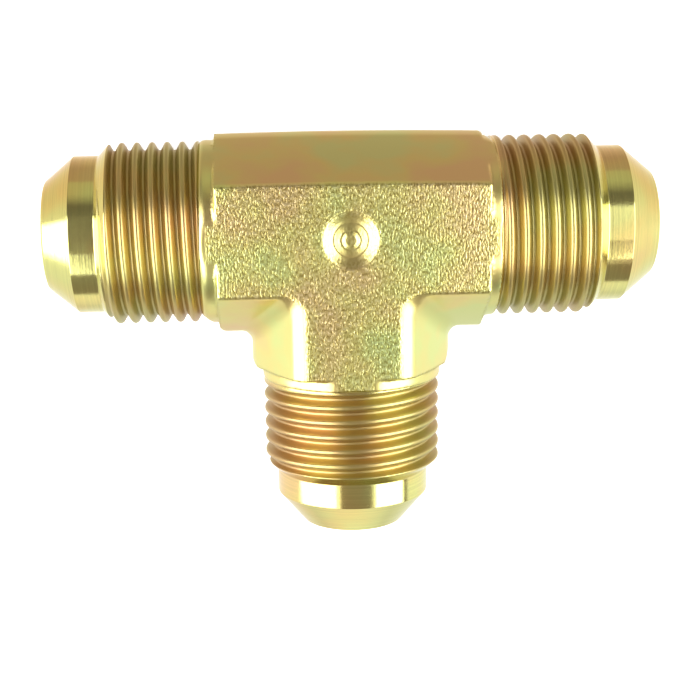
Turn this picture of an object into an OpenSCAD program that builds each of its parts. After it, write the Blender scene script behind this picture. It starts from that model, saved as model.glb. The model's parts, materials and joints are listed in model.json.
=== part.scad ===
// Union tee with three male 37 degree flare ends, cut from one forging.
// +X runs along the run, -Y along the branch, and +Z is square to the forging's flats.
// The origin is where the run and branch axes cross.

/* [Thread] */
// Major diameter of the thread on each end
thread_d = 19.05; // [18.8:0.01:19.3]
// Pitch of the thread, 16 threads to the inch
thread_pitch = 1.5875; // [1.4:0.0005:1.6]
// Grooves of thread on each end
thread_grooves = 6; // [3:1:6]
// Length of the plain collar between the forging and the thread
collar_len = 0.7; // [0.5:0.05:1]

/* [Flare ends] */
// Distance from the crossing of the axes to the face of each end
end_reach = 32.25; // [32:0.05:36]
// Diameter of the plain land behind each cone seat
land_d = 16.6; // [15.6:0.1:17]
// Angle between the cone seat and its axis
seat_angle = 37; // [35:0.5:45]
// Length of the cone seat along its axis
seat_len = 3.45; // [3:0.05:4]
// Radius of the rounded edge at the tip
tip_r = 0.6; // [0.2:0.05:0.8]
// Length of the chamfer that starts the thread
lead_len = 1.2; // [0.8:0.1:1.5]
// Place where that chamfer meets the land, from the crossing of the axes
lead_end = 26.2; // [26:0.1:27]
// Diameter of the flow bores
bore_d = 9.9; // [8:0.1:10.2]

/* [Forged body] */
// Distance from the crossing of the axes to the end of the forging on each leg
body_reach = 15.2; // [15:0.1:15.6]
// Half the height of the run's section at the parting line
run_half_h = 10.6; // [10:0.1:12]
// Half the width of the branch's section at the parting line
branch_half_w = 10.7; // [10:0.1:12]
// Half the thickness of the forging, from its middle to a flat
body_half_t = 9.4; // [9.3:0.05:10.5]
// Half the width of the flat along the run
run_flat_half = 5.7; // [4:0.1:7]
// Half the width of the flat along the branch
branch_flat_half = 4.75; // [4:0.05:6]
// Thickness of the trimmed rim at the parting line
rim_t = 1.6; // [0.6:0.1:3]
// Radius of the inner corners between run and branch
corner_r = 1.2; // [0.6:0.1:2.5]
// Length of the turned chamfer that cuts the forging's corners
chamfer_len = 1.3; // [0.6:0.1:2]
// Rise of that chamfer away from the axis
chamfer_rise = 1.8; // [1.7:0.1:2.4]

/* [Centre mark] */
// Outer diameter of the dished mark in the upper flat
mark_d = 5.9; // [4.8:0.1:8]
// Place of the mark's centre along the run
mark_x = -0.3; // [-1:0.1:1]
// Place of the mark's centre along the branch's axis
mark_y = 0; // [-1:0.1:1]
// Depth of the mark where its sloping wall ends
mark_depth = 0.45; // [0.2:0.05:0.8]
// Diameter of the low dome in the middle of the mark
mark_dome_d = 3.7; // [2:0.1:4]
// How far the top of the dome stays below the flat
mark_dome_depth = 0.15; // [0.05:0.05:0.2]

/* [Quality] */
// Number of segments around a circle
round_fn = 96; // [48:8:128]

/* [Hidden] */
$fn = round_fn;

thread_r = thread_d / 2;
land_r = land_d / 2;
bore_r = bore_d / 2;

// Thread profile: 60 degree flanks between a flat crest and a flat root
crest_w = thread_pitch / 4;
root_w = thread_pitch / 8;
groove_w = thread_pitch - crest_w;
root_r = thread_r - (groove_w - root_w) / 2 / tan(30);

lead_start = lead_end - lead_len;
land_end = end_reach - seat_len;

chamfer_start = body_reach - chamfer_len;
chamfer_top_r = thread_r + chamfer_rise;

// How far a cutting shape reaches past the face that it cuts
eps = 0.2;
// Steps in the rounding of the tip
tip_steps = 6;

forged_colour = [0.72, 0.66, 0.36];
turned_colour = [0.78, 0.64, 0.32];

// Middle of groove number i, along the axis of an end
function groove_at(i) = body_reach + collar_len + groove_w / 2 + i * thread_pitch;

// Half the width of a groove at a given distance from the axis
function groove_half_w(r) = root_w / 2 + (r - root_r) * tan(30);

// A list of points, followed by the same points turned half a turn
function with_opposite(points) = concat(points, [for (p = points) [-p[0], -p[1]]]);

// Turns a shape drawn around +Z so that it lies around +X
module along_run() {
    rotate([0, 90, 0]) children();
}

// Turns a shape drawn around +Z so that it lies around -Y
module along_branch() {
    rotate([90, 0, 0]) children();
}

module flow_bore(from, to) {
    translate([0, 0, from]) cylinder(h = to - from, r = bore_r);
}

// The eight-sided section of one leg, given the halves of its width and of its flat
module leg_section(half_w, flat_half) {
    polygon(with_opposite([
        [half_w, -rim_t / 2],
        [half_w, rim_t / 2],
        [flat_half, body_half_t],
        [-flat_half, body_half_t]
    ]));
}

// All that the lathe tool leaves at one end of the forging, with its corners chamfered
module turning_envelope() {
    rotate_extrude() polygon([
        [0, -body_reach - eps],
        [chamfer_top_r, -body_reach - eps],
        [chamfer_top_r, chamfer_start],
        [thread_r, body_reach],
        [0, body_reach]
    ]);
}

module run_block() {
    intersection() {
        translate([-body_reach, 0, 0])
            rotate([90, 0, 90])
                linear_extrude(2 * body_reach) leg_section(run_half_h, run_flat_half);
        along_run() turning_envelope();
        mirror([1, 0, 0]) along_run() turning_envelope();
    }
}

module branch_block() {
    intersection() {
        along_branch() linear_extrude(body_reach) leg_section(branch_half_w, branch_flat_half);
        along_branch() turning_envelope();
    }
}

// Fills the inner corner between run and branch at the rim, on the +X side
module corner_fillet() {
    translate([branch_half_w, -run_half_h, -rim_t / 2])
        difference() {
            translate([-eps, -corner_r, 0]) cube([corner_r + eps, corner_r + eps, rim_t]);
            translate([corner_r, -corner_r, -eps]) cylinder(h = rim_t + 2 * eps, r = corner_r);
        }
}

// A dish with a sloping wall, and a low dome in its middle
module centre_mark() {
    dome_r = mark_dome_d / 2;
    shoulder_depth = mark_dome_depth + (mark_depth - mark_dome_depth) / 4;
    translate([mark_x, mark_y, body_half_t])
        rotate_extrude() polygon([
            [0, -mark_dome_depth],
            [dome_r / 2, -shoulder_depth],
            [dome_r, -mark_depth],
            [mark_d / 2, 0],
            [mark_d / 2, eps],
            [0, eps]
        ]);
}

module forged_body() {
    color(forged_colour)
        difference() {
            union() {
                run_block();
                branch_block();
                corner_fillet();
                mirror([1, 0, 0]) corner_fillet();
            }
            along_run() flow_bore(-body_reach - eps, body_reach + eps);
            along_branch() flow_bore(0, body_reach + eps);
            centre_mark();
        }
}

// Points of the rounded tip, from the cone seat to the face
function tip_points() =
    let (
        centre_s = end_reach - tip_r,
        run_in = (centre_s - land_end) * sin(seat_angle),
        centre_r = land_r - (tip_r + run_in) / cos(seat_angle)
    )
    [
        for (i = [0:tip_steps])
            let (a = (90 - seat_angle) * (1 - i / tip_steps))
            [centre_r + tip_r * sin(a), centre_s + tip_r * cos(a)]
    ];

// A machined end before its thread is cut, around +Z
module end_blank() {
    rotate_extrude() polygon(concat(
        [
            [0, body_reach],
            [thread_r, body_reach],
            [thread_r, lead_start],
            [land_r, lead_end],
            [land_r, land_end]
        ],
        tip_points(),
        [[0, end_reach]]
    ));
}

module thread_groove() {
    outer_r = thread_r + eps;
    rotate_extrude() polygon([
        [root_r, -root_w / 2],
        [outer_r, -groove_half_w(outer_r)],
        [outer_r, groove_half_w(outer_r)],
        [root_r, root_w / 2]
    ]);
}

module machined_end() {
    color(turned_colour)
        difference() {
            end_blank();
            for (i = [0:thread_grooves - 1])
                translate([0, 0, groove_at(i)]) thread_groove();
            flow_bore(body_reach - eps, end_reach + eps);
        }
}

module run_end_left() {
    mirror([1, 0, 0]) along_run() machined_end();
}

module run_end_right() {
    along_run() machined_end();
}

module branch_end() {
    along_branch() machined_end();
}

forged_body();
run_end_left();
run_end_right();
branch_end();
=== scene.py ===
"""A plated steel union tee with three male flare ends, lying on its flat."""
import json
import math

import bmesh
import bpy
import numpy as np
from mathutils import Matrix, Vector


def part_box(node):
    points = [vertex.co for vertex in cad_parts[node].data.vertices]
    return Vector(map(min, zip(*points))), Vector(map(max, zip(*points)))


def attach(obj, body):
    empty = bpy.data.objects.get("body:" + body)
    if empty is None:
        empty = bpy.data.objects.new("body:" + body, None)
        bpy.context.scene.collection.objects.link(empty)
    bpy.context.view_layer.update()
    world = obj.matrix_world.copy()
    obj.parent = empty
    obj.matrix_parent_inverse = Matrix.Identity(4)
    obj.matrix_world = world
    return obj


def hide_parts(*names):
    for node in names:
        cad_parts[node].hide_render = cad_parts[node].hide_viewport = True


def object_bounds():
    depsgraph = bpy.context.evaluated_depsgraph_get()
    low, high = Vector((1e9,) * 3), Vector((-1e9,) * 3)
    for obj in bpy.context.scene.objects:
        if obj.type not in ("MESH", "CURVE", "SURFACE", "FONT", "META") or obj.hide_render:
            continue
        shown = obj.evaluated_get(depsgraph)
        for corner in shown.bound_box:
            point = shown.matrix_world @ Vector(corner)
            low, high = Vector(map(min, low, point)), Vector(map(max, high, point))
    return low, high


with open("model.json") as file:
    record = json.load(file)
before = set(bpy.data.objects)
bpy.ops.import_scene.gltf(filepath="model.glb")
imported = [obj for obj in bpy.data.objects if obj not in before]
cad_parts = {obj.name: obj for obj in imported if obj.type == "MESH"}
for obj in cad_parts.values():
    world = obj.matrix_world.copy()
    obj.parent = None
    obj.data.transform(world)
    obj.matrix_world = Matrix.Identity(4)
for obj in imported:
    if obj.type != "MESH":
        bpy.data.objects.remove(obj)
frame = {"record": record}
cad_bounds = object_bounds()

# Lengths are in millimetres, except where a comment says metres. Meshes are made in metres.
MM = 0.001

# ---------------------------------------------------------------- sizes from the frame
body_low, body_high = (np.array(corner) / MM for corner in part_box("forged_body"))
mounts = {mount["name"]: mount for mount in frame["record"]["mounts"]}

BODY_REACH = body_high[0]
BODY_HALF_T = body_high[2]
RUN_HALF_H = body_high[1]
END_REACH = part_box("run_end_right")[1][0] / MM
THREAD_R = mounts["thread_right"]["dims"]["r_mm"]
BORE_R = mounts["run_bore"]["dims"]["r_mm"]

# ---------------------------------------------------------------- forging
BRANCH_HALF_W = 10.7
# How far each flat reaches from the axis of its leg
RUN_FLAT_UPPER = 6.0
RUN_FLAT_LOWER = 5.45
BRANCH_FLAT_LEFT = 5.95
BRANCH_FLAT_RIGHT = 5.65
# The thin rim that the bevels leave halfway up, and how far the bevels bulge
RIM_T = 1.6
BEVEL_CROWN = 0.2
# Roundings of the edges, and the fillet where the branch meets the run
RUN_FLAT_EDGE_R = 0.35
BRANCH_FLAT_EDGE_R = 1.0
RIM_EDGE_R = 0.5
CORNER_EDGE_R = 0.2
INNER_FILLET = 1.6
# The forging's axis misses the machined one a little, and its upper side bows and leans.
RUN_SHIFT = -0.23
RUN_CROWN = 0.2
RUN_LEAN = 0.007
# The collars, and how far out the lathe faces the shoulders behind them
COLLAR_R = 9.64
RUN_FACE = 14.05
BRANCH_FACE = 14.6
# Where each collar ends, how round its edge is, and how much it narrows per millimetre
LEFT_COLLAR = (15.8, 0.8, 0)
RIGHT_COLLAR = (15.2, 0.1, 0.12)
BRANCH_COLLAR = (15.8, 0.15, 0)
# Bevels of the forging's corners: two points on each, in the plane of the rim
LEFT_LOWER_BEVEL = ((-13.56, -10.8), (-14.19, -9.99))
RIGHT_LOWER_BEVEL = ((14.09, -10.86), (14.85, -9.63))
RIGHT_UPPER_BEVEL = ((13.94, 10.09), (15.05, 9.02))
BRANCH_LEFT_BEVEL = ((-10.67, -14.14), (-9.75, -15.16))
BRANCH_RIGHT_BEVEL = ((10.71, -13.43), (9.75, -15.63))
# The grid that the forging is meshed on. The half step keeps its layers off the flats.
FORGING_STEP = 0.24
FORGING_MARGIN = 3.5 * FORGING_STEP
SETTLE_PASSES = 2
LEAST_SLOPE_SQUARED = 0.2

# ---------------------------------------------------------------- blasted grain of the flats
TOP_SEED = 7
UNDERSIDE_SEED = 17
GRAIN_HEIGHT = 0.006
GRAIN_CELL = 0.36
GRAIN_STRETCH = 0.6
SWELL_HEIGHT = 0.006
SWELL_CELL = 1.3
# Where the branch begins along y, and where its flat ends across x
BRANCH_FROM_Y = (-5, -7)
BRANCH_WITHIN_X = (8.2, 6.6)
# Where the grain starts in from the edge, in edge roundings, and how softly on the branch
GRAIN_START = 0.6
GRAIN_SOFTNESS = 0.35
# How far the grain runs on past the shoulders, and how softly it ends there
GRAIN_PAST_LEFT = 0.8
GRAIN_PAST_RIGHT = 0.6
GRAIN_END = 0.1
# Depths under the flats, and distances from the turned faces, over which the grain fades
GRAIN_FADE_DEPTH = (0.6, 0.2)
GRAIN_FADE_AT_TURNED = (0.02, 0.08)

# ---------------------------------------------------------------- centre mark
MARK_AT = (-0.3, 0.0)
MARK_R = 2.95
# Distances from the middle of the mark, and the depths there
MARK_PROFILE = [
    (0, 0.14), (0.55, 0.18), (0.85, 0.30), (0.95, 0.36), (1.05, 0.33), (1.7, 0.52),
    (1.8, 0.56), (1.9, 0.50), (2.2, 0.38), (2.75, 0.08), (MARK_R, 0),
]
# How much grain is left in the mark, and how far round it that holds
MARK_GRAIN = 0.5
MARK_GRAIN_MARGIN = 0.1
# How many cuts each edge of its mesh gets, and how far round and below it they reach
MARK_CUTS = 2
MARK_MESH_MARGIN = 0.3
MARK_MESH_DEPTH = 1

# ---------------------------------------------------------------- machined ends
THREAD_PITCH = 25.4 / 16
FLANK_ANGLE = math.radians(60)
CREST_ROUND = 0.33
ROOT_FLAT = 0.12
# Crest dullness and painted shade, and the depths where grooves turn fully dull and shaded
CREST_DULL_AND_SHADE = 0.8
DULL_AND_SHADE_DEPTHS = (0.02, 0.3)
# The lead chamfer, the plain land and the cone seat, from the centre outwards
LEAD_LEN = 1.2
LEAD_END = 26.2
LAND_R = 8.25
LAND_END = 28.82
SEAT_ANGLE = math.radians(39.5)
# Roundings at the chamfer's foot, between land and seat, at the tip and at the bore's mouth
LEAD_ROUND = 0.15
EDGE_R = 0.1
TIP_R = 0.5
MOUTH_R = 0.12
# How far an end reaches into the forging, and how finely it is meshed
HIDDEN_OVERLAP = 0.1
THREAD_ROW = 0.07
ROUND_STEPS = 240
CORNER_STEPS = 7
SUPPORT_GAP = 0.04
# Each end: node, direction, reach, collar, place of a crest, and where the thread fades in
ENDS = [
    ("run_end_left", math.pi, END_REACH - 0.3, LEFT_COLLAR, 16.61, (15.2, 16.0)),
    ("run_end_right", 0, END_REACH - 0.05, RIGHT_COLLAR, 15.6, (15.0, 15.8)),
    ("branch_end", -math.pi / 2, END_REACH, BRANCH_COLLAR, 17.05, (15.7, 16.2)),
]

# ---------------------------------------------------------------- finish
# Colour ramps as (place, colour): the plating drifts from gold through yellow to green.
TURNED_COLOURS = [
    (0.35, (0.87, 0.62, 0.27)), (0.5, (0.86, 0.71, 0.25)), (0.62, (0.79, 0.77, 0.28)),
]
FORGED_COLOURS = [
    (0.35, (0.84, 0.62, 0.27)), (0.5, (0.82, 0.71, 0.25)), (0.63, (0.72, 0.76, 0.28)),
]
TURNING_STREAKS = [(0.3, (0.90, 0.90, 0.90)), (0.7, (1.0, 1.0, 1.0))]
# Darker plating and painted shade down in the thread grooves, multiplied into the colour
GROOVE_PLATING_AND_SHADE = (0.62, 0.58, 0.60, 1)
TURNED_ROUGHNESS = 0.14
GROOVE_ROUGHNESS = 0.4
FORGED_ROUGHNESS = 0.3
# Painted glints and painted shade on the facets of the blasted grain, multiplied into the colour
GRAIN_GLINT_AND_SHADE = [
    (0.36, (0.62, 0.60, 0.45)), (0.5, (1.02, 1.1, 1.02)), (0.62, (1.2, 1.32, 1.6)),
]

# ---------------------------------------------------------------- studio
# The floor and the wall are in metres.
FLOOR_HALF = 3.0
FLOOR_GLOW = 0.55
BACKDROP_R = 1.5
BACKDROP_H = 3.0
BACKDROP_STEPS = 96
BACKDROP_GLOW = 0.85
# Light panels: a corner, two edges, and the radiance. Two large ones lean over the part,
# with a dark slot between them above it.
PANEL_TOP = 110
PANELS = {
    "left_panel": ((-58, -135, PANEL_TOP), (-290, 0, -PANEL_TOP), (0, 200, 0), 4.5),
    "right_panel": ((68, -115, PANEL_TOP), (172, 0, -65), (0, 190, 0), 4.5),
    "right_inner": ((46, -37, PANEL_TOP), (20, 0, 0), (0, 103, 0), 0.9),
    "right_front": ((52, -160, PANEL_TOP), (15, 0, 0), (0, 120, 0), 0.6),
    "left_front": ((-60, -135, PANEL_TOP), (17, 0, 0), (0, 95, 0), 1.4),
}
# Colours of the studio from its -Y side, at 0, to its +Y side, at 1
STUDIO_ABOVE = [
    (0.0, (0.28, 0.25, 0.23)), (0.4, (0.31, 0.27, 0.25)), (0.5, (0.26, 0.22, 0.21)),
    (0.88, (0.17, 0.15, 0.14)), (0.96, (0.53, 0.50, 0.38)),
]
STUDIO_BELOW = [
    (0.0, (1.1, 1.1, 1.1)), (0.08, (0.82, 0.82, 0.82)), (0.45, (1.25, 1.25, 1.25)),
    (0.72, (0.85, 0.71, 0.58)), (0.93, (0.47, 0.36, 0.32)),
]
HORIZON_BLEND = 0.03

# ---------------------------------------------------------------- camera
LENS = 75.0
CAMERA_SHIFT = (0.0286, 0.0714)
CAMERA_CLIP_START = 5
CAMERA_AT = (-8.47, 21.04, 155.46)
# Turns about the world's axes in degrees, the last one first
CAMERA_TURNS = (("Y", -2.25), ("X", -14.39), ("Z", -1.02))


# ---------------------------------------------------------------- mesh helpers
def smoothstep(low, high, value):
    """0 up to low, 1 from high on, and a soft rise between them"""
    t = np.clip((value - low) / (high - low), 0, 1)
    return t * t * (3 - 2 * t)


def mesh_object(name, points, quads, attributes=None):
    """A smooth-shaded mesh object from points in millimetres and quads"""
    mesh = bpy.data.meshes.new(name)
    mesh.vertices.add(len(points))
    mesh.vertices.foreach_set("co", (points * MM).ravel())
    mesh.loops.add(quads.size)
    mesh.loops.foreach_set("vertex_index", quads.ravel().astype(np.int32))
    mesh.polygons.add(len(quads))
    mesh.polygons.foreach_set("loop_start", np.arange(0, quads.size, 4, dtype=np.int32))
    mesh.update(calc_edges=True)
    mesh.validate()
    for key, values in (attributes or {}).items():
        layer = mesh.attributes.new(key, "FLOAT", "POINT")
        layer.data.foreach_set("value", values.astype(np.float32))
    mesh.shade_smooth()
    thing = bpy.data.objects.new(name, mesh)
    bpy.context.collection.objects.link(thing)
    return thing


def lattice_noise(x, y, cell, seed):
    """Smooth noise from -1 to 1 on a plane, with one random value per cell corner"""
    u, v = x / cell, y / cell
    column, row = np.floor(u).astype(int), np.floor(v).astype(int)
    fu, fv = smoothstep(0, 1, u - column), smoothstep(0, 1, v - row)
    repeat = 512
    values = np.random.default_rng(seed).uniform(-1, 1, (repeat, repeat))

    def corner(i, j):
        return values[(column + i) % repeat, (row + j) % repeat]

    lower = corner(0, 0) * (1 - fu) + corner(1, 0) * fu
    upper = corner(0, 1) * (1 - fu) + corner(1, 1) * fu
    return lower * (1 - fv) + upper * fv


def surface_net(distance, low, high, step):
    """A closed quad mesh of the surface where distance(points) is zero.

    Each grid edge that crosses the surface gives one quad between the four cells round it,
    and each cell's vertex is the mean of the crossings on its edges.
    """
    axes = [np.arange(a, b + step, step) for a, b in zip(low, high)]
    shape = tuple(len(axis) for axis in axes)
    places = np.stack(np.meshgrid(*axes, indexing="ij"), -1).reshape(-1, 3)
    field = distance(places).reshape(shape)
    ring = [(0, 0), (1, 0), (1, 1), (0, 1)]
    corners, crossings = [], []
    for axis in range(3):
        near = np.moveaxis(field, axis, 0)[:-1]
        far = np.moveaxis(field, axis, 0)[1:]
        along, side_a, side_b = np.nonzero((near < 0) != (far < 0))
        index = np.stack([along, side_a, side_b], 1)
        a, b = near[along, side_a, side_b], far[along, side_a, side_b]
        order = [axis] + [k for k in range(3) if k != axis]
        back = np.argsort(order)
        crossing = index.astype(float)
        crossing[:, 0] += a / (a - b)
        cells = np.stack([index - np.array([0, i, j]) for i, j in ring], 1)
        outward = (a < 0) != (axis == 1)
        cells[~outward] = cells[~outward][:, ::-1]
        corners.append(cells[:, :, back])
        crossings.append(crossing[:, back])
    corners = np.concatenate(corners)
    crossings = np.repeat(np.concatenate(crossings), 4, axis=0)
    keys = np.ravel_multi_index(corners.reshape(-1, 3).T, shape)
    _, vertex = np.unique(keys, return_inverse=True)
    count = np.bincount(vertex)
    points = np.stack([np.bincount(vertex, crossings[:, k]) / count for k in range(3)], 1)
    points = points * step + np.array([axis[0] for axis in axes])
    return points, vertex.reshape(-1, 4)


def settle(points, distance, reach=1e-3):
    """Moves points along the field's slope until they lie on its surface"""
    for _ in range(SETTLE_PASSES):
        here = distance(points)
        slope = np.stack([
            (distance(points + reach * np.eye(3)[k]) - here) / reach for k in range(3)
        ], 1)
        squared = np.maximum((slope ** 2).sum(1), LEAST_SLOPE_SQUARED)
        points = points - slope * (here / squared)[:, None]
    return points


# ---------------------------------------------------------------- forged body
def round_max(a, b, radius):
    """The overlap of two solids, with the edge between them rounded"""
    u, v = np.maximum(radius + a, 0), np.maximum(radius + b, 0)
    return np.minimum(-radius, np.maximum(a, b)) + np.hypot(u, v)


def round_min(a, b, radius):
    """The union of two solids, with a fillet between them"""
    u, v = np.maximum(radius - a, 0), np.maximum(radius - b, 0)
    return np.maximum(radius, np.minimum(a, b)) - np.hypot(u, v)


def leg_side(across, height, half_w, flat_half):
    """Distance to the rim and the bevels on one side of a leg.

    A bevel is an arc from the rim to the flat, which bulges by BEVEL_CROWN.
    """
    start = np.array([half_w, RIM_T / 2])
    end = np.array([flat_half, BODY_HALF_T])
    chord = end - start
    length = np.hypot(*chord)
    normal = np.array([chord[1], -chord[0]]) / length
    radius = length ** 2 / (8 * BEVEL_CROWN) + BEVEL_CROWN / 2
    centre = (start + end) / 2 - normal * (radius - BEVEL_CROWN)
    bevel = np.hypot(across - centre[0], np.abs(height) - centre[1]) - radius
    bevel = np.where(across > centre[0], bevel, across - half_w)
    return round_max(bevel, across - half_w, RIM_EDGE_R)


def turned_end(along, radius, face, collar):
    """Distance to the shoulder and the collar that the lathe leaves on one end"""
    collar_end, rounding, taper = collar
    side = radius - COLLAR_R + taper * (along - face)
    return np.minimum(along - face, round_max(side, along - collar_end, rounding))


def beyond(x, y, bevel):
    """Distance past the line through a corner bevel's two points"""
    (x1, y1), (x2, y2) = bevel
    normal = np.array([y2 - y1, x1 - x2]) / math.hypot(x2 - x1, y2 - y1)
    if normal @ np.array([x1, y1]) < 0:
        normal = -normal
    return (x - x1) * normal[0] + (y - y1) * normal[1]


def forging_sides(p):
    """Distance to the sides of the forging as it leaves the dies, without its flats"""
    x, y, z = p.T
    crown = RUN_CROWN * (x / BODY_REACH) ** 2 + RUN_LEAN * x
    upper = leg_side(y - RUN_SHIFT + crown, z, RUN_HALF_H, RUN_FLAT_UPPER)
    lower = leg_side(RUN_SHIFT - y, z, RUN_HALF_H, RUN_FLAT_LOWER)
    run = np.maximum(upper, lower)
    for bevel in (LEFT_LOWER_BEVEL, RIGHT_LOWER_BEVEL, RIGHT_UPPER_BEVEL):
        run = round_max(run, beyond(x, y, bevel), CORNER_EDGE_R)
    left = leg_side(-x, z, BRANCH_HALF_W, BRANCH_FLAT_LEFT)
    right = leg_side(x, z, BRANCH_HALF_W, BRANCH_FLAT_RIGHT)
    branch = np.maximum(np.maximum(left, right), y)
    for bevel in (BRANCH_LEFT_BEVEL, BRANCH_RIGHT_BEVEL):
        branch = round_max(branch, beyond(x, y, bevel), CORNER_EDGE_R)
    return round_min(run, branch, INNER_FILLET)


def turned_ends(p):
    """Distance to what the lathe leaves of the forging"""
    x, y, z = p.T
    run_r, branch_r = np.hypot(y, z), np.hypot(x, z)
    left = turned_end(-x, run_r, RUN_FACE, LEFT_COLLAR)
    right = turned_end(x, run_r, RUN_FACE, RIGHT_COLLAR)
    branch = turned_end(-y, branch_r, BRANCH_FACE, BRANCH_COLLAR)
    return np.maximum(np.maximum(left, right), branch)


def from_mark(x, y):
    """Distance from the middle of the centre mark"""
    return np.hypot(x - MARK_AT[0], y - MARK_AT[1])


def on_branch(x, y):
    """1 on the branch, 0 on the run, and between the two where they meet"""
    return smoothstep(*BRANCH_FROM_Y, y) * smoothstep(*BRANCH_WITHIN_X, np.abs(x))


def flat_edge_r(x, y):
    """The edges of the flats are worn rounder along the branch than along the run"""
    return RUN_FLAT_EDGE_R + on_branch(x, y) * (BRANCH_FLAT_EDGE_R - RUN_FLAT_EDGE_R)


def grain_area(x, y, sides):
    """Where the flats are blasted, from 0 to 1: to their edges, and a little onto the collars"""
    worn = on_branch(x, y)
    inward = -sides / flat_edge_r(x, y)
    area = smoothstep(GRAIN_START * worn, GRAIN_START + GRAIN_SOFTNESS * worn, inward)
    past = np.where(x < 0, GRAIN_PAST_LEFT, GRAIN_PAST_RIGHT)
    return area * smoothstep(past + GRAIN_END, past - GRAIN_END, np.abs(x) - RUN_FACE)


def grain(x, y, seed):
    """Height of the coarse part of the blasted surface"""
    fine = GRAIN_HEIGHT * lattice_noise(x, GRAIN_STRETCH * y, GRAIN_CELL, seed)
    swell = SWELL_HEIGHT * lattice_noise(x, y, SWELL_CELL, seed + 1)
    return fine + swell


def forging_distance(p):
    """Distance to the finished forging: its sides, flats, mark, turned ends and bores"""
    x, y, z = p.T
    sides = forging_sides(p)
    inside = grain_area(x, y, sides)
    mark = np.interp(from_mark(x, y), *zip(*MARK_PROFILE))
    upper = z - (BODY_HALF_T - mark + inside * grain(x, y, TOP_SEED))
    lower = -z - (BODY_HALF_T + inside * grain(x, y, UNDERSIDE_SEED))
    solid = round_max(sides, np.maximum(upper, lower), flat_edge_r(x, y))
    solid = np.maximum(solid, turned_ends(p))
    run_bore = BORE_R - np.hypot(y, z)
    branch_bore = np.where(y < 0, BORE_R - np.hypot(x, z), -1.0)
    return np.maximum(solid, np.maximum(run_bore, branch_bore))


def refine_mark(thing):
    """Gives the centre mark a finer mesh"""
    edit = bmesh.new()
    edit.from_mesh(thing.data)
    floor = (BODY_HALF_T - MARK_MESH_DEPTH) * MM
    reach = MARK_R + MARK_MESH_MARGIN
    near = [
        edge for edge in edit.edges
        if all(v.co.z > floor for v in edge.verts)
        and all(from_mark(v.co.x / MM, v.co.y / MM) < reach for v in edge.verts)
    ]
    bmesh.ops.subdivide_edges(edit, edges=near, cuts=MARK_CUTS, use_grid_fill=True)
    edit.to_mesh(thing.data)
    edit.free()


def mesh_points(mesh):
    """The places of a mesh's vertices, in millimetres"""
    points = np.empty(len(mesh.vertices) * 3)
    mesh.vertices.foreach_get("co", points)
    return points.reshape(-1, 3) / MM


def grain_mask(points):
    """How much the material's grain shows at each vertex, from 0 to 1"""
    x, y, z = points.T
    mask = grain_area(x, y, forging_sides(points))
    deep, shallow = GRAIN_FADE_DEPTH
    mask *= smoothstep(BODY_HALF_T - deep, BODY_HALF_T - shallow, np.abs(z))
    mask *= smoothstep(*GRAIN_FADE_AT_TURNED, -turned_ends(points))
    in_mark = (from_mark(x, y) < MARK_R + MARK_GRAIN_MARGIN) & (z > 0)
    mask[in_mark] *= MARK_GRAIN
    return mask


def make_forging():
    """The forging as one closed mesh, with its grain as an attribute"""
    longer_collars = np.array([LEFT_COLLAR[0] - BODY_REACH, BRANCH_COLLAR[0] - BODY_REACH, 0])
    low = body_low - longer_collars - FORGING_MARGIN
    high = body_high + FORGING_MARGIN
    points, quads = surface_net(forging_distance, low, high, FORGING_STEP)
    body = mesh_object("forging", points, quads)
    refine_mark(body)
    points = settle(mesh_points(body.data), forging_distance)
    body.data.vertices.foreach_set("co", (points * MM).ravel())
    layer = body.data.attributes.new("grain", "FLOAT", "POINT")
    layer.data.foreach_set("value", grain_mask(points).astype(np.float32))
    body.data.update()
    body.data.shade_smooth()
    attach(body, "root")
    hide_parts("forged_body")
    return body


# ---------------------------------------------------------------- machined ends
def rounded_corners(corners):
    """Rows along a profile whose corners (place, radius, rounding) are arcs.

    A row close to each end of an arc keeps the straight stretches flat in the shading.
    """
    rows = [np.array(corners[0][:2])]
    for before, corner, after in zip(corners, corners[1:], corners[2:]):
        here, rounding = np.array(corner[:2]), corner[2]
        back, ahead = np.array(before[:2]) - here, np.array(after[:2]) - here
        back, ahead = back / np.hypot(*back), ahead / np.hypot(*ahead)
        half = math.acos(np.clip(back @ ahead, -1, 1)) / 2
        inward = (back + ahead) / np.hypot(*(back + ahead))
        centre = here + inward * rounding / math.sin(half)
        tangent = rounding / math.tan(half)
        rows.append(here + back * (tangent + SUPPORT_GAP))
        first, last = here + back * tangent - centre, here + ahead * tangent - centre
        for t in np.linspace(0, 1, CORNER_STEPS):
            spoke = first * (1 - t) + last * t
            rows.append(centre + spoke / np.hypot(*spoke) * rounding)
        rows.append(here + ahead * (tangent + SUPPORT_GAP))
    rows.append(np.array(corners[-1][:2]))
    return np.array(rows)


def thread_depth(offset):
    """Depth of the thread at a distance from the middle of its crest"""
    t = np.abs(offset)
    flank_start = CREST_ROUND * math.sin(FLANK_ANGLE)
    arc_depth = CREST_ROUND / 2
    arc = CREST_ROUND - np.sqrt(np.maximum(CREST_ROUND ** 2 - t ** 2, 0))
    flank = arc_depth + (t - flank_start) * math.tan(FLANK_ANGLE)
    root = arc_depth + (THREAD_PITCH / 2 - ROOT_FLAT - flank_start) * math.tan(FLANK_ANGLE)
    return np.minimum(np.where(t < flank_start, arc, flank), root)


def thread_cut(s, angle, crest_at, run_out):
    """Depth of the thread along an end and around it, with its run-out"""
    turns = (s - crest_at) / THREAD_PITCH - angle / (2 * math.pi)
    offset = (turns - np.round(turns)) * THREAD_PITCH
    return thread_depth(offset) * smoothstep(*run_out, s)


def blank_radius(s):
    """Radius that the thread is cut in, with its lead chamfer"""
    lead = THREAD_R - (s - (LEAD_END - LEAD_LEN)) * (THREAD_R - LAND_R) / LEAD_LEN
    return np.clip(lead, LAND_R, THREAD_R)


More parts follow.
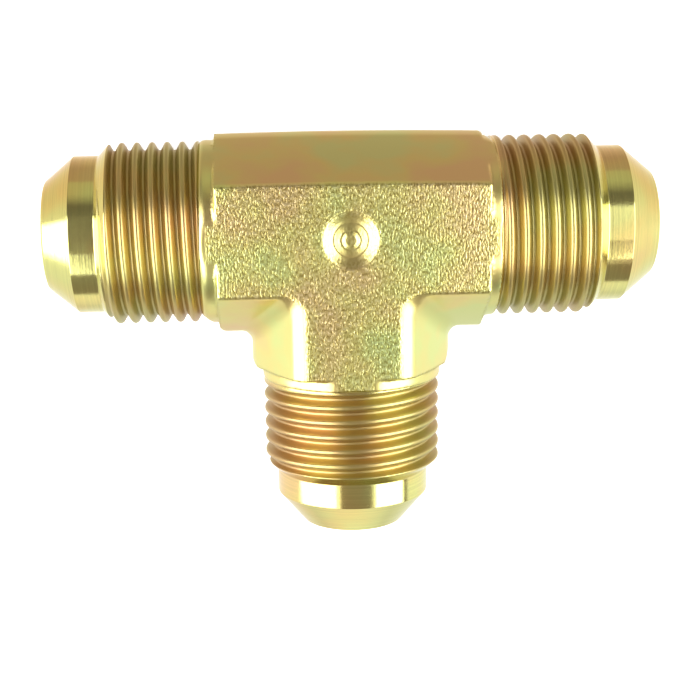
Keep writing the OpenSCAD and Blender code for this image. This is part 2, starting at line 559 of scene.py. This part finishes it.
def plain_profile(start, reach):
    """Rows from the lead chamfer over the land, the seat and the tip, and back along the bore"""
    tip_r = LAND_R - (reach - LAND_END) * math.tan(SEAT_ANGLE)
    return rounded_corners([
        (LEAD_END - LEAD_ROUND, LAND_R + LEAD_ROUND * (THREAD_R - LAND_R) / LEAD_LEN, 0),
        (LEAD_END, LAND_R, LEAD_ROUND),
        (LAND_END, LAND_R, EDGE_R),
        (reach, tip_r, TIP_R),
        (reach, BORE_R, MOUTH_R),
        (start, BORE_R, 0),
    ])


def make_end(name, direction, reach, collar, crest_at, run_out):
    """One threaded flare end, built around +X and turned to its direction.

    Its vertices hold the groove's dullness and painted shade, and how far along the end they are.
    """
    angle = np.linspace(0, 2 * math.pi, ROUND_STEPS, endpoint=False)
    start = collar[0] - HIDDEN_OVERLAP
    thread_s = np.arange(start, LEAD_END - LEAD_ROUND, THREAD_ROW)
    cut = thread_cut(thread_s[:, None], angle[None], crest_at, run_out)
    blank_r = blank_radius(thread_s)[:, None]
    thread_r = np.minimum(THREAD_R - cut, blank_r)
    # Dullness and painted shade, from the crests down into the grooves
    dull_and_shade = CREST_DULL_AND_SHADE + (1 - CREST_DULL_AND_SHADE) * smoothstep(*DULL_AND_SHADE_DEPTHS, cut)
    groove = np.where(THREAD_R - cut < blank_r, dull_and_shade * smoothstep(*run_out, thread_s)[:, None], 0)
    profile = plain_profile(start, reach)
    s = np.concatenate([thread_s, profile[:, 0]])
    r = np.concatenate([thread_r, np.repeat(profile[:, 1:], ROUND_STEPS, 1)])
    groove = np.concatenate([groove.ravel(), np.zeros(len(profile) * ROUND_STEPS)])
    along = np.repeat(s, ROUND_STEPS)
    points = np.stack([
        np.repeat(s[:, None], ROUND_STEPS, 1),
        r * np.cos(angle),
        r * np.sin(angle),
    ], -1).reshape(-1, 3)
    ring = np.arange(ROUND_STEPS)
    after = (ring + 1) % ROUND_STEPS
    rows = np.arange(len(s))
    low = rows[:, None] * ROUND_STEPS
    high = ((rows + 1) % len(s))[:, None] * ROUND_STEPS
    quads = np.stack([low + ring, low + after, high + after, high + ring], -1).reshape(-1, 4)
    points = points @ np.array(Matrix.Rotation(direction, 3, "Z")).T
    end = mesh_object(name + "_turned", points, quads, {"groove": groove, "along": along})
    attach(end, "root")
    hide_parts(name)
    return end


# ---------------------------------------------------------------- materials
class Nodes:
    """A short way to build a node tree"""

    def __init__(self, tree):
        self.tree = tree
        tree.nodes.clear()

    def add(self, kind, inputs=None, **settings):
        """A node whose inputs, by name or number, are links or values"""
        node = self.tree.nodes.new("ShaderNode" + kind)
        for key, value in settings.items():
            setattr(node, key, value)
        for key, value in (inputs or {}).items():
            if isinstance(value, bpy.types.NodeSocket):
                self.tree.links.new(value, node.inputs[key])
            else:
                node.inputs[key].default_value = value
        return node

    def mix(self, blend, factor, first, second):
        """The colour that two colours mix to"""
        node = self.add("Mix", {0: factor, 6: first, 7: second}, data_type="RGBA", blend_type=blend)
        return node.outputs[2]

    def ramp(self, factor, stops):
        """A colour from stops of (place, colour)"""
        node = self.add("ValToRGB", {"Fac": factor})
        elements = node.color_ramp.elements
        while len(elements) < len(stops):
            elements.new(0.5)
        for element, (place, colour) in zip(elements, stops):
            element.position = place
            element.color = (*colour, 1)
        return node.outputs["Color"]


def new_material(name):
    """An empty node material, and the builder of its tree"""
    material = bpy.data.materials.new(name)
    material.use_nodes = True
    return material, Nodes(material.node_tree)


def turned_plate():
    """Yellow zinc plating on turned steel, with duller, darker plating and painted shade in the
    threads
    """
    material, nodes = new_material("turned_plate")
    place = nodes.add("TexCoord").outputs["Object"]
    groove = nodes.add("Attribute", attribute_name="groove").outputs["Fac"]
    along = nodes.add("Attribute", attribute_name="along").outputs["Fac"]
    cloud = nodes.add("TexNoise", {"Vector": place, "Scale": 90.0, "Detail": 3.0})
    plate = nodes.ramp(cloud.outputs["Fac"], TURNED_COLOURS)
    streak = nodes.add("TexNoise", {"W": along, "Scale": 5.0, "Detail": 3.0}, noise_dimensions="1D")
    shade = nodes.ramp(streak.outputs["Fac"], TURNING_STREAKS)
    streaked = nodes.mix("MULTIPLY", 1.0, plate, shade)
    # Darker plating and painted shade in the thread grooves
    colour = nodes.mix("MULTIPLY", groove, streaked, GROOVE_PLATING_AND_SHADE)
    rough = nodes.add("MapRange", {0: groove, 3: TURNED_ROUGHNESS, 4: GROOVE_ROUGHNESS})
    fine = nodes.add("TexNoise", {"Vector": place, "Scale": 2500.0, "Detail": 2.0})
    height = nodes.add("Math", {0: fine.outputs["Fac"], 1: streak.outputs["Fac"]}, operation="ADD")
    bump = nodes.add("Bump", {"Height": height.outputs[0], "Strength": 0.05, "Distance": 0.0001})
    shader = nodes.add("BsdfPrincipled", {
        "Base Color": colour, "Metallic": 1.0, "Roughness": rough.outputs[0],
        "Normal": bump.outputs["Normal"],
    })
    nodes.add("OutputMaterial", {"Surface": shader.outputs["BSDF"]})
    return material


def forged_plate():
    """Yellow zinc plating on a forging, with painted glints and painted shade speckling the blasted
    grain of its flats
    """
    material, nodes = new_material("forged_plate")
    place = nodes.add("TexCoord").outputs["Object"]
    mask = nodes.add("Attribute", attribute_name="grain").outputs["Fac"]
    cloud = nodes.add("TexNoise", {"Vector": place, "Scale": 110.0, "Detail": 3.0})
    plate = nodes.ramp(cloud.outputs["Fac"], FORGED_COLOURS)
    stretched = nodes.add("VectorMath", {0: place, 1: (1.0, 0.5, 1.0)}, operation="MULTIPLY")
    fine = nodes.add("TexNoise", {"Vector": stretched.outputs[0], "Scale": 5000.0, "Detail": 2.0})
    grain_glint_and_shade = nodes.ramp(fine.outputs["Fac"], GRAIN_GLINT_AND_SHADE)
    # Painted glints and painted shade on the grain's facets
    colour = nodes.mix("MULTIPLY", mask, plate, grain_glint_and_shade)
    height = nodes.add("Math", {0: fine.outputs["Fac"], 1: mask}, operation="MULTIPLY")
    bump = nodes.add("Bump", {"Height": height.outputs[0], "Strength": 1.0, "Distance": 0.00007})
    shader = nodes.add("BsdfPrincipled", {
        "Base Color": colour, "Metallic": 1.0, "Roughness": FORGED_ROUGHNESS,
        "Normal": bump.outputs["Normal"],
    })
    nodes.add("OutputMaterial", {"Surface": shader.outputs["BSDF"]})
    return material


def floor_material():
    material, nodes = new_material("pale_floor")
    shader = nodes.add("BsdfPrincipled", {
        "Base Color": (0.8, 0.8, 0.8, 1), "Roughness": 0.9,
        "Emission Color": (1, 1, 1, 1), "Emission Strength": FLOOR_GLOW,
    })
    nodes.add("OutputMaterial", {"Surface": shader.outputs["BSDF"]})
    return material


def wall_material():
    material, nodes = new_material("pale_wall")
    glow = nodes.add("Emission", {"Color": (1, 1, 1, 1), "Strength": BACKDROP_GLOW})
    nodes.add("OutputMaterial", {"Surface": glow.outputs[0]})
    return material


# ---------------------------------------------------------------- stage
def make_floor():
    """A plain pale floor under the part"""
    z = cad_bounds[0][2]
    sides = ((-1, -1), (1, -1), (1, 1), (-1, 1))
    corners = [(x * FLOOR_HALF, y * FLOOR_HALF, z) for x, y in sides]
    mesh = bpy.data.meshes.new("floor")
    mesh.from_pydata(corners, [], [(0, 1, 2, 3)])
    floor = bpy.data.objects.new("floor", mesh)
    bpy.context.collection.objects.link(floor)
    floor.data.materials.append(floor_material())
    # The plating mirrors the studio's darker and lighter sides instead of the white floor.
    floor.visible_glossy = False


def make_backdrop():
    """A plain pale wall round the part, which lights nothing and shows in no reflection"""
    turns = 2 * math.pi * np.arange(BACKDROP_STEPS) / BACKDROP_STEPS
    ring = [(BACKDROP_R * math.cos(turn), BACKDROP_R * math.sin(turn)) for turn in turns]
    low, high = cad_bounds[0][2], cad_bounds[0][2] + BACKDROP_H
    corners = [(x, y, low) for x, y in ring] + [(x, y, high) for x, y in ring]
    following = [(step + 1) % BACKDROP_STEPS for step in range(BACKDROP_STEPS)]
    faces = [
        (step, after, BACKDROP_STEPS + after, BACKDROP_STEPS + step)
        for step, after in enumerate(following)
    ]
    mesh = bpy.data.meshes.new("backdrop")
    mesh.from_pydata(corners, [], faces)
    backdrop = bpy.data.objects.new("backdrop", mesh)
    bpy.context.collection.objects.link(backdrop)
    backdrop.data.materials.append(wall_material())
    backdrop.visible_diffuse = False
    backdrop.visible_glossy = False
    backdrop.visible_shadow = False


def panel(name, corner, along, across, radiance):
    """A rectangular light from a corner and two edges, facing the part"""
    corner, along, across = (Vector(v) * MM for v in (corner, along, across))
    lamp = bpy.data.lights.new(name, "AREA")
    lamp.shape = "RECTANGLE"
    lamp.size, lamp.size_y = along.length, across.length
    lamp.energy = radiance * math.pi * along.length * across.length
    centre = corner + (along + across) / 2
    z_axis = along.cross(across).normalized()
    if z_axis.dot(centre) < 0:
        across = -across
        z_axis = -z_axis
    turn = Matrix((along.normalized(), across.normalized(), z_axis)).transposed()
    thing = bpy.data.objects.new(name, lamp)
    thing.matrix_world = Matrix.Translation(centre) @ turn.to_4x4()
    thing.visible_camera = False
    bpy.context.collection.objects.link(thing)


def make_lights():
    """The light panels, and a plain studio round them that the plating mirrors"""
    for name, (corner, along, across, radiance) in PANELS.items():
        panel(name, corner, along, across, radiance)
    world = bpy.data.worlds.new("studio")
    world.use_nodes = True
    nodes = Nodes(world.node_tree)
    way = nodes.add("SeparateXYZ", {0: nodes.add("TexCoord").outputs["Generated"]})
    across = nodes.add("MapRange", {0: way.outputs["Y"], 1: -1.0, 2: 1.0})
    above = nodes.ramp(across.outputs[0], STUDIO_ABOVE)
    below = nodes.ramp(across.outputs[0], STUDIO_BELOW)
    side = nodes.add("MapRange", {0: way.outputs["Z"], 1: -HORIZON_BLEND, 2: HORIZON_BLEND})
    colour = nodes.mix("MIX", side.outputs[0], below, above)
    sky = nodes.add("Background", {"Color": colour, "Strength": 1.0})
    nodes.add("OutputWorld", {"Surface": sky.outputs["Background"]})
    bpy.context.scene.world = world


def make_camera():
    """The camera looks almost straight down on the flat, with the branch towards it"""
    lens = bpy.data.cameras.new("camera")
    lens.lens = LENS
    lens.shift_x, lens.shift_y = CAMERA_SHIFT
    lens.clip_start = CAMERA_CLIP_START * MM
    camera = bpy.data.objects.new("camera", lens)
    turn = Matrix.Identity(4)
    for axis, degrees in CAMERA_TURNS:
        turn = turn @ Matrix.Rotation(math.radians(degrees), 4, axis)
    camera.matrix_world = Matrix.Translation(Vector(CAMERA_AT) * MM) @ turn
    bpy.context.collection.objects.link(camera)
    bpy.context.scene.camera = camera


# ---------------------------------------------------------------- the scene
make_floor()
make_backdrop()
make_lights()
make_camera()

forged = forged_plate()
turned = turned_plate()
make_forging().data.materials.append(forged)
for end in ENDS:
    make_end(*end).data.materials.append(turned)

view = bpy.context.scene.view_settings
view.view_transform = "Standard"
view.look = "None"
